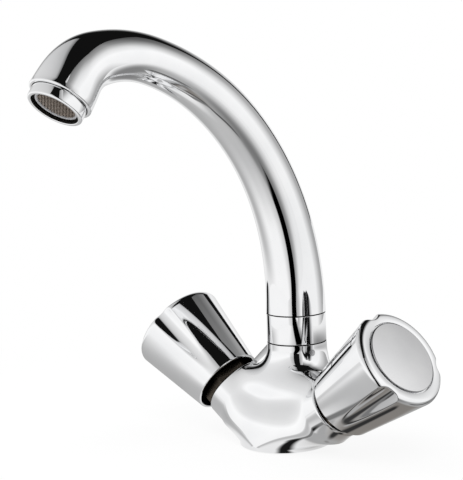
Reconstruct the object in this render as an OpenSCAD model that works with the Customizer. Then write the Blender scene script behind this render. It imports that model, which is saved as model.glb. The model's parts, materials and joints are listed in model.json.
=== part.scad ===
// Basin mixer tap with two lobed handles and a swivelling arched spout, in millimetres.
// The origin is the centre of the base on the deck, +Z is up and the spout points along -Y.

/* [Body casting] */
// Radius of the round foot that stands on the deck
base_r = 21.9; // [20:0.1:26]
// Height of the straight edge round the foot
base_edge_h = 1.6; // [1:0.1:3]
// Radius of the neck that carries the spout
neck_r = 14.2; // [13.5:0.1:16]
// Height of the top face of the neck above the deck
neck_top_z = 47.1; // [45:0.1:52]
// Distance from the foot's centre back to the spout's axis
neck_setback = 10.3; // [8:0.1:12]
// Tilt of each valve arm above the horizontal
arm_tilt = 36; // [32:0.5:40]
// Distance that the arms' axes meet below the deck
arm_drop = 2.7; // [1:0.1:4]
// Radius of each valve arm
arm_r = 14; // [13.4:0.1:15]
// Distance along the arm's axis to its machined end
arm_end = 41.5; // [40:0.5:45]
// Chamfer round an arm's machined end
arm_edge = 0.8; // [0.4:0.1:1.2]
// Length of the straight machined part of an arm
arm_straight = 11; // [9:0.5:12]
// Height at which the fillet round the neck's root starts
root_z = 35.5; // [32:0.5:36]
// Radius of the fillet round the neck's root
root_fillet = 4.5; // [2:0.5:5]
// Radius of the level shoulder that joins the arms' tops under the neck
shoulder_r = 11; // [9:0.5:12]
// Height of the shoulder's axis above the deck
shoulder_z = 24; // [22:0.5:25]

/* [Water ways] */
// Radius of the two threaded inlet holes, M10 x 1
inlet_r = 4.5; // [4:0.1:4.8]
// Distance between the centres of the two inlet holes
inlet_pitch = 20; // [19:0.5:22]
// Depth of the inlet threads
inlet_depth = 8; // [7:0.5:9]
// Radius of the threaded hole for the fixing stud, M8
stud_hole_r = 3.4; // [3:0.1:3.6]
// Depth of the hole for the fixing stud
stud_hole_depth = 12; // [8:1:14]
// Distance from the foot's centre back to the stud hole
stud_setback = 12; // [11:0.5:13]
// Radius of the port under each valve seat
port_r = 3; // [2.6:0.1:3.2]
// Radius of the mixing chamber below the neck
chamber_r = 6.5; // [5:0.1:7]
// Depth of the mixing chamber below the spigot
chamber_depth = 17; // [15.5:0.5:17.5]
// Radius of the channel from each valve to the chamber
channel_r = 3; // [2.5:0.1:3.2]
// Turn of each channel towards the front
channel_turn = 14; // [12:1:18]

/* [Base gasket] */
// Width of the rubber ring under the foot
gasket_w = 3; // [2:0.1:4]
// Thickness of the rubber ring under the foot
gasket_h = 1.5; // [1:0.1:1.8]
// Distance from the foot's edge in to the rubber ring
gasket_inset = 1.2; // [1:0.1:2]

/* [Spout] */
// Radius of the spout where it stands on its collar
spout_foot_r = 14.3; // [13.5:0.1:15]
// Radius of the spout halfway along its first arc
spout_mid_r = 12.2; // [11.8:0.1:12.8]
// Radius of the spout at its slimmest, before the tight bend
spout_slim_r = 10.7; // [10.2:0.1:11.5]
// Radius of the spout halfway round the tight bend
spout_bend_r = 12.7; // [12.2:0.1:13]
// Radius of the flared lip round the outlet
spout_lip_r = 14; // [13.8:0.1:15]
// Wall of the spout tube
spout_wall = 2; // [1.5:0.1:2.5]
// Straight length above the collar
spout_straight = 5; // [3:0.5:12]
// Radius of the spout's long first arc
arc_a_r = 123; // [110:1:135]
// Angle of the spout's long first arc
arc_a_deg = 73.2; // [70:0.1:76]
// Radius of the spout's second arc
arc_b_r = 66.5; // [55:0.5:80]
// Angle of the spout's second arc
arc_b_deg = 27.6; // [25:0.1:30]
// Radius of the tight bend at the outlet
arc_c_r = 23.5; // [22:0.5:28]
// Angle of the tight bend at the outlet
arc_c_deg = 40.3; // [38:0.1:42]
// Straight length of the outlet, with the lip at its end
outlet_straight = 8.8; // [8:0.1:12]
// Rounding of the lip's edge
lip_round = 0.8; // [0.6:0.1:1.2]

/* [Spout swivel] */
// Height of the collar between the neck and the spout
collar_h = 14.1; // [12:0.1:18]
// Radius of the collar
collar_r = 14.1; // [13.5:0.1:15]
// Radius of the spigot that turns in the neck
spigot_r = 9; // [8.5:0.1:9.5]
// Wall of the spigot
spigot_wall = 2.9; // [2.7:0.1:3.2]
// Depth that the spigot reaches into the neck
spigot_depth = 13.2; // [13:0.1:14]
// Thickness of the two O-rings on the spigot
oring_d = 1.44; // [1.2:0.02:1.6]
// Height between the two O-rings
oring_pitch = 2.6; // [2.4:0.1:3]
// Radius of the plastic glide ring under the collar
glide_r = 11.2; // [10.8:0.1:12]
// Height of the plastic glide ring
glide_h = 1.5; // [1.2:0.1:1.8]
// Depth of the glide ring's seat in the neck
glide_seat_depth = 1.3; // [1:0.1:1.4]
// Radius of the grub screw that keeps the spout in the neck, M3
grub_r = 1.5; // [1.3:0.05:1.7]
// Length of the grub screw
grub_len = 4; // [3.5:0.1:4.2]
// Depth of the grub screw below the neck's top face
grub_depth = 3.6; // [3.5:0.1:4]
// Direction of the grub screw, from the front towards the right handle
grub_az = 71.5; // [60:0.5:90]

/* [Aerator] */
// Radius of the aerator's housing
aerator_r = 12; // [11.5:0.1:12.4]
// Length of the housing that shows below the lip
aerator_show = 5.6; // [4.5:0.1:7]
// Length of the housing that is screwed into the outlet
aerator_thread = 6; // [5:0.1:7]
// Radius of the hole in the housing's end
aerator_mouth_r = 10; // [9.5:0.1:10.4]
// Depth of the housing's mouth down to the jet insert
aerator_mouth_depth = 1.6; // [1.2:0.1:2]
// Height of the plastic jet insert
insert_h = 7; // [6:0.1:8]
// Radius of the fine screen
screen_r = 8.9; // [8.4:0.1:9.2]
// Thickness of the fine screen
screen_h = 0.6; // [0.5:0.1:1]
// Thickness of the sealing washer above the housing
washer_h = 1.4; // [1:0.1:2]

/* [Handles] */
// Distance along the valve axis to the open rim of each handle
rim_s = 46; // [45:0.5:50]
// Length of each handle from its open rim to its face
handle_len = 42; // [40:0.5:46]
// Radius of a handle at its open rim
rim_r = 17.25; // [16.6:0.05:18]
// Radius of a handle at its widest, over the lobes
lobe_r = 23.4; // [22.5:0.1:25]
// Rounding of the edge round a handle's face
face_round = 2.6; // [2:0.1:3.2]
// Number of flutes round a handle
flutes = 3; // [3:1:5]
// Radius of each scooped flute at the handle's face
flute_r = 7; // [6:0.1:8]
// Depth of each flute at the handle's face
flute_depth = 2.4; // [1.8:0.1:3]
// How far a flute's foot stays outside the open rim
flute_foot = 0.3; // [0.2:0.05:0.8]
// Wall of the handle at its open rim
hood_wall = 1.1; // [0.9:0.05:1.4]
// Thickness of the handle's face
face_t = 5; // [4:0.1:6]
// Radius of the hub inside each handle
hub_r = 6.6; // [6:0.1:7.5]
// Length of the hub below the face
hub_len = 14; // [12:0.5:15]
// Turn of the left handle's flutes about its axis
left_turn = 34; // [0:1:119]
// Turn of the right handle's flutes about its axis
right_turn = 97; // [0:1:119]

/* [Index caps] */
// Radius of the round cap on each handle's face
cap_r = 17.3; // [16.5:0.1:17.5]
// Height that the cap stands above the face
cap_proud = 0.7; // [0.4:0.1:1]
// Depth of the cap's recess in the face
cap_seat = 1.4; // [1:0.1:1.8]
// Width of the open groove round the cap
cap_groove = 0.6; // [0.3:0.05:0.7]
// Radius of the plug that holds the cap
plug_r = 4.6; // [4.4:0.1:5]
// Length of the plug below the cap
plug_len = 1.6; // [1:0.1:1.8]

/* [Handle screws] */
// Radius of the screw's thread, M4
screw_r = 2; // [1.8:0.1:2.2]
// Length of the screw below its head
screw_len = 10; // [8:0.5:12]
// Radius of the screw's head
screw_head_r = 3.6; // [3.4:0.1:3.8]
// Height of the screw's head
screw_head_h = 1.8; // [1.6:0.1:2]

/* [Valves] */
// Radius of the bonnet's thread, G 1/2
bonnet_r = 10.2; // [9.8:0.1:10.5]
// Depth that the bonnet is screwed into the arm
bonnet_depth = 13; // [12.5:0.5:15]
// Width across the flats of the bonnet's hexagon
hex_af = 24; // [23:0.5:25]
// Height of the bonnet's hexagon
hex_h = 5; // [4.5:0.1:6]
// Radius of the bonnet's barrel above the hexagon
barrel_r = 7.4; // [7:0.1:8]
// Length of the bonnet's barrel above the hexagon
barrel_len = 13; // [12:0.5:14]
// Radius of the valve spindle
spindle_r = 4; // [3.8:0.05:4.2]
// Length of the spindle's splined end
spline_len = 9; // [7:0.5:10]
// Number of teeth on the spindle's spline
spline_teeth = 20; // [12:1:24]
// Height of a tooth of the spline
spline_h = 0.35; // [0.25:0.05:0.4]
// Radius of the ceramic discs
disc_r = 8; // [7.6:0.1:8.2]
// Thickness of each ceramic disc
disc_h = 2.4; // [2:0.1:2.6]
// Radius of the ports in the ceramic discs
disc_port_r = 2; // [1.6:0.1:2.2]
// Thickness of the seat seal below the discs
seal_h = 1.5; // [1.2:0.1:2]
// Thickness of the drive plate at the spindle's foot
drive_h = 2; // [1.8:0.1:2.4]
// Thickness of the retaining clip on the spindle
clip_h = 0.8; // [0.6:0.1:1]
// Radius of the retaining clip
clip_r = 5.6; // [5.4:0.1:6]

/* [Clearances] */
// Radial clearance of a part that turns in its bore
run = 0.05; // [0.03:0.01:0.08]
// Radial clearance of a part that is screwed or pressed into its seat
seat = 0.03; // [0.02:0.01:0.06]
// Gap between the faces of two parts that turn past each other
face_gap = 0.2; // [0.15:0.05:0.4]

/* [Hidden] */
$fn = 48;
eps = 0.02; // overlap that joins two shapes of one piece
skin = 0.15; // step that keeps a hulled surface clear of the round one beside it
channel_step = 0.5; // step from the chamber's floor up to the channels
shoulder_back = 1.5; // distance from the foot's centre back to the shoulder's axis
shoulder_step = 0.5; // step from an arm's end back to the shoulder's end
seal_seat_w = 1.5; // width of the seat for the seal round a bonnet's thread
seal_seat_h = 1.2; // depth of that seat
grub_groove = 1.1; // depth of the groove that the grub screw runs in
grub_play = 0.3; // room above and below the grub screw in that groove
grub_point = 1.2; // length of the grub screw's point
thread_step = 0.8; // step from the aerator's housing in to its thread
edge = 0.8; // chamfer round the aerator's housing
insert_lip = 0.7; // width of the seat round the screen
jet_r = 0.7; // radius of a jet hole in the insert
window_r = 2.2; // radius of a water window in the bonnet

// Heights in the neck
collar_z = neck_top_z + face_gap;
foot_z = collar_z + collar_h;
spigot_end_z = neck_top_z - spigot_depth;
grub_z = neck_top_z - grub_depth;
oring_low_z = spigot_end_z + oring_d / 2 + 1.2;
groove_h = oring_d + 0.4; // width of an O-ring's groove
spigot_bore_r = spigot_r - spigot_wall;

// Positions along a valve's axis
seat_s = arm_end - bonnet_depth - seal_h;
fixed_disc_s = seat_s + seal_h;
turning_disc_s = fixed_disc_s + disc_h + face_gap / 2;
drive_s = turning_disc_s + disc_h;
throat_s = drive_s + drive_h + face_gap;
hex_s = arm_end;
barrel_end_s = hex_s + hex_h + barrel_len;
clip_s = barrel_end_s + face_gap;
face_s = rim_s + handle_len;
hub_s = face_s - face_t - hub_len;
spindle_end_s = hub_s + spline_len + 1;
web_s = spindle_end_s + 0.4; // underside of the web that the handle's screw pulls on
head_s = web_s + 1.6; // seat of the screw's head
cap_s = face_s - cap_seat;
flute_c = lobe_r - flute_depth + flute_r; // from the handle's axis to the middle of a flute
flute_slope = (lobe_r - flute_depth - rim_r - flute_foot) / handle_len; // rise per mm of length
oring_s = throat_s + 8; // height of the spindle's O-ring

// Places a shape on a valve's axis: side is 1 for the right and -1 for the left
module on_valve(side, s = 0) {
    translate([0, 0, -arm_drop]) rotate([0, side * (90 - arm_tilt), 0]) translate([0, 0, s])
        rotate([0, 0, side > 0 ? 0 : 180]) children();
}

// A plain ring that stands on z = 0
module ring(r_out, r_in, h) {
    difference() {
        cylinder(r = r_out, h = h);
        translate([0, 0, -1]) cylinder(r = r_in, h = h + 2);
    }
}

// A rubber O-ring about the z axis
module o_ring(r_mid, d) {
    rotate_extrude() translate([r_mid, 0]) circle(d = d, $fn = 24);
}

// Stacked rings of points, joined into one closed solid
module loft(rings) {
    n = len(rings[0]);
    last = (len(rings) - 1) * n;
    polyhedron(
        points = [for (ring = rings, p = ring) p],
        faces = concat(
            [[for (k = [n - 1:-1:0]) k]],
            [for (i = [0:len(rings) - 2], k = [0:n - 1]) let (a = i * n + k, b = i * n + (k + 1) % n)
                [a, b, b + n, a + n]],
            [[for (k = [0:n - 1]) last + k]]),
        convexity = 6);
}

// The foot's disc, drawn in a little more for each blend, so that no two faces lie on each other
module foot_core(n) {
    translate([0, 0, n * skin]) cylinder(r = base_r - n * skin, h = base_edge_h - (n + 1) * skin);
}

// One arm grows from the foot to a round end
module arm_shape(side) {
    hull() {
        foot_core(side > 0 ? 1 : 2);
        on_valve(side, arm_end - arm_straight + 2) cylinder(r = arm_r - skin, h = 2);
    }
    on_valve(side, arm_end - arm_straight) rotate_extrude() polygon([[0, 0], [arm_r - 1, 0], [arm_r, 1.5],
        [arm_r, arm_straight - arm_edge], [arm_r - arm_edge, arm_straight], [0, arm_straight]]);
}

// The neck leans back from the foot, with a hollow fillet round its root
module neck_shape() {
    hull() {
        foot_core(3);
        translate([0, neck_setback, root_z - 2]) cylinder(r = neck_r + root_fillet + skin, h = 2 + skin / 2);
    }
    translate([0, neck_setback, 0]) rotate_extrude()
        polygon(concat([[0, root_z - 1], [neck_r + root_fillet - skin, root_z - 1]],
            [for (a = [0:15:90]) [neck_r + root_fillet - root_fillet * sin(a),
                root_z + root_fillet - root_fillet * cos(a)]],
            [[neck_r, neck_top_z], [0, neck_top_z]]));
}

// A level bar fills the saddle between the arms, and stops just short of their ends
module shoulder() {
    difference() {
        translate([-arm_end, shoulder_back, shoulder_z]) rotate([0, 90, 0])
            cylinder(r = shoulder_r, h = 2 * arm_end);
        for (side = [-1, 1]) on_valve(side, arm_end - shoulder_step) cylinder(r = arm_end, h = arm_end);
    }
}

module body_outside() {
    cylinder(r = base_r, h = base_edge_h);
    arm_shape(1);
    arm_shape(-1);
    shoulder();
    neck_shape();
}

// Bores for one valve, its inlet and the channel to the mixing chamber
module valve_ways(side) {
    on_valve(side, seat_s) cylinder(r = bonnet_r + seat, h = arm_end);
    on_valve(side, arm_end - seal_seat_h) cylinder(r = bonnet_r + seal_seat_w, h = 10);
    on_valve(side, inlet_pitch / 2 / cos(arm_tilt)) cylinder(r = port_r, h = seat_s);
    translate([side * inlet_pitch / 2, 0, -1]) cylinder(r = inlet_r, h = inlet_depth + 1);
    translate([0, neck_setback, spigot_end_z - chamber_depth + channel_r + channel_step])
        rotate([0, 0, side > 0 ? -channel_turn : 180 + channel_turn])
        rotate([0, 90, 0]) cylinder(r = channel_r, h = inlet_pitch);
}

module grub_axis() {
    translate([0, neck_setback, grub_z]) rotate([0, 0, grub_az - 90]) rotate([0, 90, 0]) children();
}

module body() {
    color("silver") difference() {
        body_outside();
        valve_ways(1);
        valve_ways(-1);
        translate([0, neck_setback, spigot_end_z - 0.5]) cylinder(r = spigot_r + run, h = 40);
        translate([0, neck_setback, spigot_end_z - chamber_depth])
            cylinder(r = chamber_r, h = chamber_depth + 1);
        translate([0, neck_setback, neck_top_z - glide_seat_depth]) cylinder(r = glide_r + seat, h = 10);
        grub_axis() cylinder(r = grub_r + seat, h = neck_r + 5);
        translate([0, stud_setback, -1]) cylinder(r = stud_hole_r, h = stud_hole_depth + 1);
        translate([0, 0, -1]) ring(base_r - gasket_inset + seat, base_r - gasket_inset - gasket_w - seat,
            gasket_h + 1);
    }
}

module base_gasket() {
    color("dimgray") ring(base_r - gasket_inset, base_r - gasket_inset - gasket_w, gasket_h - seat);
}

// Point and heading on an arc of the centreline: start, heading, radius and angle turned
function along(p, h, d) = [p + d * [cos(h), sin(h)], h];
function round_arc(p, h, r, a) = [p + r * [sin(h) - sin(h - a), cos(h - a) - cos(h)], h - a];

// The centreline runs forward in the plane x = 0: each entry is [[forward, up], heading]
line_a = along([0, 0], 90, spout_straight);
line_b = round_arc(line_a[0], line_a[1], arc_a_r, arc_a_deg);
line_c = round_arc(line_b[0], line_b[1], arc_b_r, arc_b_deg);
line_d = round_arc(line_c[0], line_c[1], arc_c_r, arc_c_deg);
line_end = along(line_d[0], line_d[1], outlet_straight);

len_a = arc_a_r * arc_a_deg * PI / 180;
len_b = arc_b_r * arc_b_deg * PI / 180;
len_c = arc_c_r * arc_c_deg * PI / 180;
mark_b = spout_straight + len_a;
mark_c = mark_b + len_b;
mark_d = mark_c + len_c;
mark_end = mark_d + outlet_straight;

steps_a = 18; // rings on the long arc
steps_b = 6; // rings on the second arc
steps_c = 8; // rings on the tight bend
stations = concat(
    [[0, [[0, 0], 90]]],
    [for (i = [0:steps_a]) let (t = i / steps_a)
        [spout_straight + t * len_a, round_arc(line_a[0], line_a[1], arc_a_r, t * arc_a_deg)]],
    [for (i = [1:steps_b]) let (t = i / steps_b)
        [mark_b + t * len_b, round_arc(line_b[0], line_b[1], arc_b_r, t * arc_b_deg)]],
    [for (i = [1:steps_c]) let (t = i / steps_c)
        [mark_c + t * len_c, round_arc(line_c[0], line_c[1], arc_c_r, t * arc_c_deg)]],
    [for (t = [0.45, 0.9]) [mark_d + t * outlet_straight, along(line_d[0], line_d[1], t * outlet_straight)]]);

function tube_r(d) = lookup(d, [[0, spout_foot_r], [spout_straight + len_a * 0.44, spout_mid_r],
    [mark_b - len_a * 0.06, spout_slim_r], [(mark_b + mark_c) / 2 + len_b * 0.1, spout_slim_r + 0.3],
    [mark_c + len_c * 0.5, spout_bend_r], [mark_d + outlet_straight * 0.15, spout_lip_r - 0.35],
    [mark_end, spout_lip_r]]);

function tube_ring(st, r, n) = let (p = st[1][0], h = st[1][1]) [for (k = [0:n - 1])
    let (a = -360 * (k + 0.5) / n, side = r * cos(a), out = r * sin(a))
    [side, neck_setback - p[0] + out * sin(h), foot_z + p[1] + out * cos(h)]];

module tube(shrink, n, first, last) {
    loft([for (i = [first:last]) tube_ring(stations[i], tube_r(stations[i][0]) - shrink, n)]);
}

// Places a shape on the outlet's axis, with z = 0 at the lip and +z upstream
module at_outlet(up = 0) {
    translate([0, neck_setback - line_end[0][0], foot_z + line_end[0][1]])
        rotate([-90 - line_end[1], 0, 0]) translate([0, 0, up]) children();
}

module spigot() {
    translate([0, neck_setback, 0]) difference() {
        translate([0, 0, spigot_end_z]) cylinder(r = spigot_r, h = foot_z - spigot_end_z + 3);
        for (z = [oring_low_z, oring_low_z + oring_pitch])
            translate([0, 0, z - groove_h / 2])
                ring(spigot_r + 1, spigot_r + run - oring_d - seat * 2, groove_h);
        translate([0, 0, grub_z - grub_r - grub_play])
            ring(spigot_r + 1, spigot_r - grub_groove, 2 * (grub_r + grub_play));
    }
}

module spout() {
    color("silver") difference() {
        union() {
            tube(0, 28, 0, len(stations) - 1);
            spigot();
            at_outlet() rotate_extrude() difference() {
                square([spout_lip_r, 3]);
                translate([spout_lip_r - lip_round, 0]) difference() {
                    square(lip_round + eps);
                    translate([0, lip_round]) circle(lip_round);
                }
            }
        }
        tube(spout_wall + 1, 14, 2, len(stations) - 2);
        translate([0, neck_setback, spigot_end_z - 1]) cylinder(r = spigot_bore_r, h = foot_z - spigot_end_z + 8);
        at_outlet(-1) cylinder(r = aerator_r - thread_step + seat, h = aerator_thread + washer_h + 1);
    }
}

module spout_collar() {
    color("silver") translate([0, neck_setback, collar_z]) rotate_extrude()
        polygon([[spigot_r + seat, 0], [collar_r - 0.4, 0], [collar_r, 0.4], [collar_r, collar_h - 0.5],
            [collar_r - 0.4, collar_h - 0.1], [spigot_r + seat, collar_h - 0.1]]);
}

module spout_o_rings() {
    color("black") for (z = [oring_low_z, oring_low_z + oring_pitch])
        translate([0, neck_setback, z]) o_ring(spigot_r - oring_d / 2 + seat / 2, oring_d);
}

module spout_glide_ring() {
    color("white") translate([0, neck_setback, neck_top_z - glide_seat_depth])
        ring(glide_r, spigot_r + run, glide_h - 0.1);
}

module spout_grub_screw() {
    color("gray") grub_axis() translate([0, 0, spigot_r + 0.4]) difference() {
        union() {
            cylinder(r = grub_r, h = grub_len);
            translate([0, 0, -grub_point]) cylinder(r = grub_r - 0.4, h = grub_point + eps);
        }
        translate([0, 0, grub_len - 1.4]) cylinder(r = grub_r / 2, h = 2, $fn = 6);
    }
}

module aerator_housing() {
    color("silver") at_outlet() difference() {
        union() {
            translate([0, 0, -aerator_show]) rotate_extrude()
                polygon([[0, 0], [aerator_r - edge, 0], [aerator_r, edge], [aerator_r, aerator_show - seat],
                    [0, aerator_show - seat]]);
            translate([0, 0, -0.5]) cylinder(r = aerator_r - thread_step, h = aerator_thread + 0.5);
        }
        translate([0, 0, -aerator_show - 1]) cylinder(r = aerator_mouth_r, h = aerator_mouth_depth + 2);
        translate([0, 0, aerator_mouth_depth - aerator_show])
            cylinder(r = screen_r + insert_lip, h = aerator_show + aerator_thread);
    }
}

insert_up = aerator_mouth_depth - aerator_show + screen_h;
module aerator_insert() {
    color("gainsboro") at_outlet(insert_up) difference() {
        cylinder(r = screen_r + insert_lip - seat, h = insert_h);
        translate([0, 0, -1]) cylinder(r = screen_r - 1, h = 4);
        for (ring_r = [3, 6.2], a = [0:360 / (ring_r * 2):359]) rotate([0, 0, a])
            translate([ring_r, 0, 0]) cylinder(r = jet_r, h = insert_h + 1, $fn = 16);
    }
}

module aerator_screen() {
    color("rosybrown") at_outlet(insert_up - screen_h) cylinder(r = screen_r, h = screen_h - seat);
}

module aerator_washer() {
    color("dimgray") at_outlet(aerator_thread + seat)
        ring(aerator_r - thread_step - seat, screen_r - 1, washer_h - seat * 2);
}

// Outline of a handle, from its axis out along the open rim and up to its face
module handle_outline() {
    round_c = [lobe_r - face_round, face_s - face_round - rim_s];
    polygon(concat([[0, 0], [rim_r, 0]],
        [for (a = [0:15:90]) round_c + face_round * [cos(a), sin(a)]], [[0, face_s - rim_s]]));
}

module handle(side, turn) {
    color("silver") on_valve(side, rim_s) difference() {
        rotate_extrude() handle_outline();
        rotate([0, 0, 90 + turn]) for (i = [0:flutes - 1]) rotate([0, 0, i * 360 / flutes])
            translate([flute_c, 0, -1]) cylinder(r1 = flute_c - rim_r - flute_foot + flute_slope,
                r2 = flute_r - flute_slope, h = handle_len + 2);
        difference() {
            translate([0, 0, -1]) cylinder(r = rim_r - hood_wall, h = handle_len - face_t + 1);
            translate([0, 0, hub_s - rim_s]) cylinder(r = hub_r, h = hub_len + 1);
        }
        translate([0, 0, hub_s - rim_s - 1])
            cylinder(r = spindle_r + spline_h + run, h = web_s - hub_s + 1);
        translate([0, 0, web_s - rim_s - 1]) cylinder(r = screw_r + 0.3, h = handle_len);
        translate([0, 0, head_s - rim_s]) cylinder(r = plug_r + seat, h = handle_len);
        translate([0, 0, cap_s - rim_s]) cylinder(r = cap_r + cap_groove, h = cap_seat + 1);
    }
}

module index_cap(side) {
    color("lightgray") on_valve(side, cap_s) {
        rotate_extrude() polygon([[0, 0], [cap_r, 0], [cap_r, cap_seat + cap_proud - 0.6],
            [cap_r - 0.6, cap_seat + cap_proud], [0, cap_seat + cap_proud]]);
        translate([0, 0, -plug_len]) cylinder(r = plug_r, h = plug_len + eps);
    }
}

module handle_screw(side) {
    color("gray") on_valve(side, head_s) difference() {
        union() {
            translate([0, 0, -screw_len]) cylinder(r = screw_r, h = screw_len + eps);
            cylinder(r = screw_head_r, h = screw_head_h);
        }
        for (a = [0, 90]) rotate([0, 0, a]) translate([-2, -0.4, screw_head_h - 1]) cube([4, 0.8, 2]);
    }
}

module valve_bonnet(side) {
    color("goldenrod") on_valve(side) difference() {
        union() {
            translate([0, 0, fixed_disc_s]) cylinder(r = bonnet_r, h = bonnet_depth + eps);
            translate([0, 0, hex_s]) cylinder(d = hex_af / cos(30), h = hex_h, $fn = 6);
            translate([0, 0, hex_s + hex_h - eps]) cylinder(r = barrel_r, h = barrel_len + eps);
        }
        translate([0, 0, fixed_disc_s - 1]) cylinder(r = disc_r + run * 2, h = throat_s - fixed_disc_s + 1);
        cylinder(r = spindle_r + run, h = barrel_end_s + 1);
        // windows that let the mixed water out of the disc chamber
        for (a = [45, 135, 225, 315]) translate([0, 0, turning_disc_s - 0.4]) rotate([90, 0, a])
            cylinder(r = window_r, h = bonnet_r + 2);
    }
}

module bonnet_seal(side) {
    color("black") on_valve(side, arm_end - seal_seat_h)
        ring(bonnet_r + seal_seat_w - seat, bonnet_r + seat, seal_seat_h - seat);
}

module valve_spindle(side) {
    spline_s = spindle_end_s - spline_len;
    color("goldenrod") on_valve(side) difference() {
        union() {
            translate([0, 0, drive_s + seat]) cylinder(r = disc_r - 0.6, h = drive_h - seat);
            translate([0, 0, drive_s + 0.5]) cylinder(r = spindle_r, h = spline_s - drive_s);
            translate([0, 0, spline_s]) linear_extrude(height = spline_len)
                polygon([for (i = [0:2 * spline_teeth - 1])
                    let (r = spindle_r + (i % 2 == 0 ? spline_h : -spline_h), a = 180 * i / spline_teeth)
                    r * [cos(a), sin(a)]]);
            // tongue that turns the upper disc
            translate([-1.5, -disc_r + 1.5, drive_s - 0.9]) cube([3, 2 * disc_r - 3, 1.2]);
        }
        translate([0, 0, oring_s - groove_h / 2]) ring(spindle_r + 1, spindle_r + run - oring_d - 2 * seat, groove_h);
        translate([0, 0, clip_s - seat]) ring(spindle_r + 1, spindle_r - 0.6, clip_h + 2 * seat);
        translate([0, 0, head_s - screw_len - 1]) cylinder(r = screw_r + seat, h = screw_len + 2);
    }
}

module spindle_o_ring(side) {
    color("black") on_valve(side, oring_s) o_ring(spindle_r - oring_d / 2 + seat / 2, oring_d);
}

// Open clip in the spindle's groove
module spindle_clip(side) {
    color("gray") on_valve(side, clip_s) difference() {
        ring(clip_r, spindle_r - 0.6 + seat, clip_h);
        translate([0, -1.6, -1]) cube([clip_r + 1, 3.2, clip_h + 2]);
    }
}

module turning_disc(side) {
    color("white") on_valve(side, turning_disc_s) difference() {
        cylinder(r = disc_r, h = disc_h);
        for (a = [0, 180]) rotate([0, 0, a]) translate([disc_r * 0.52, 0, -1])
            cylinder(r = disc_port_r, h = disc_h + 2, $fn = 24);
        translate([-1.6, -disc_r + 1.4, disc_h - 1]) cube([3.2, 2 * disc_r - 2.8, 2]);
    }
}

module fixed_disc(side) {
    color("white") on_valve(side, fixed_disc_s) difference() {
        cylinder(r = disc_r + run, h = disc_h);
        for (a = [90, 270]) rotate([0, 0, a]) translate([disc_r * 0.52, 0, -1])
            cylinder(r = disc_port_r, h = disc_h + 2, $fn = 24);
    }
}

module seat_seal(side) {
    color("black") on_valve(side, seat_s + seat) ring(disc_r + 1, port_r + 2.8, seal_h - 2 * seat);
}

module handle_left() { handle(-1, left_turn); }
module index_cap_left() { index_cap(-1); }
module handle_screw_left() { handle_screw(-1); }
module valve_bonnet_left() { valve_bonnet(-1); }
module bonnet_seal_left() { bonnet_seal(-1); }
module valve_spindle_left() { valve_spindle(-1); }
module spindle_o_ring_left() { spindle_o_ring(-1); }
module spindle_clip_left() { spindle_clip(-1); }
module turning_disc_left() { turning_disc(-1); }
module fixed_disc_left() { fixed_disc(-1); }
module seat_seal_left() { seat_seal(-1); }
module handle_right() { handle(1, right_turn); }
module index_cap_right() { index_cap(1); }
module handle_screw_right() { handle_screw(1); }
module valve_bonnet_right() { valve_bonnet(1); }
module bonnet_seal_right() { bonnet_seal(1); }
module valve_spindle_right() { valve_spindle(1); }
module spindle_o_ring_right() { spindle_o_ring(1); }
module spindle_clip_right() { spindle_clip(1); }
module turning_disc_right() { turning_disc(1); }
module fixed_disc_right() { fixed_disc(1); }
module seat_seal_right() { seat_seal(1); }

body();
base_gasket();
spout();
spout_collar();
spout_o_rings();
spout_glide_ring();
spout_grub_screw();
aerator_housing();
aerator_insert();
aerator_screen();
aerator_washer();
handle_left();
index_cap_left();
handle_screw_left();
valve_bonnet_left();
bonnet_seal_left();
valve_spindle_left();
spindle_o_ring_left();
spindle_clip_left();
turning_disc_left();
fixed_disc_left();
seat_seal_left();
handle_right();
index_cap_right();
handle_screw_right();
valve_bonnet_right();
bonnet_seal_right();
valve_spindle_right();
spindle_o_ring_right();
spindle_clip_right();
turning_disc_right();
fixed_disc_right();
seat_seal_right();
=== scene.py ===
import bpy
import bmesh
import json
import math
import numpy as np
from mathutils import Matrix, Vector


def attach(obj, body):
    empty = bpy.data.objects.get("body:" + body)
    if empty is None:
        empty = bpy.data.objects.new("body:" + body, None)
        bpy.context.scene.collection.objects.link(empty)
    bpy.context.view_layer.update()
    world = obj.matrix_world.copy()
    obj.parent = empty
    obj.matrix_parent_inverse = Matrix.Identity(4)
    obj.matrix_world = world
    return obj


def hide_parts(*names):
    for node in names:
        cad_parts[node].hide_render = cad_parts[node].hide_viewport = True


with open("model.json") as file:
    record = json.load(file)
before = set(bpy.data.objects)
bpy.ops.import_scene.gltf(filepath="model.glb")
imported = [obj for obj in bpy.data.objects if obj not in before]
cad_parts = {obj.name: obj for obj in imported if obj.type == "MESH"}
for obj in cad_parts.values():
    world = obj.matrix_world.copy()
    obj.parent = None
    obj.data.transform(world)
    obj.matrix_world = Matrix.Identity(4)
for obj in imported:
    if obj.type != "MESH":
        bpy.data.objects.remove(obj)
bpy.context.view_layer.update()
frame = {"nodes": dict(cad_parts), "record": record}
mm = 0.001  # the tap's sizes are in millimetres
weld = 1e-7  # points closer than this are one, in metres
print("frame loaded, nodes:", len(frame["nodes"]))

# the photograph's viewpoint
camera = {
    "place": (502.22, -547.84, 198.97),
    "right": (0.7201, 0.6926, -0.0415),
    "up": (-0.0640, 0.1258, 0.9900),
    "lens": 120.0,
    "sensor": 36.0,
    "clip": (0.01, 20.0),  # in metres
}


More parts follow.
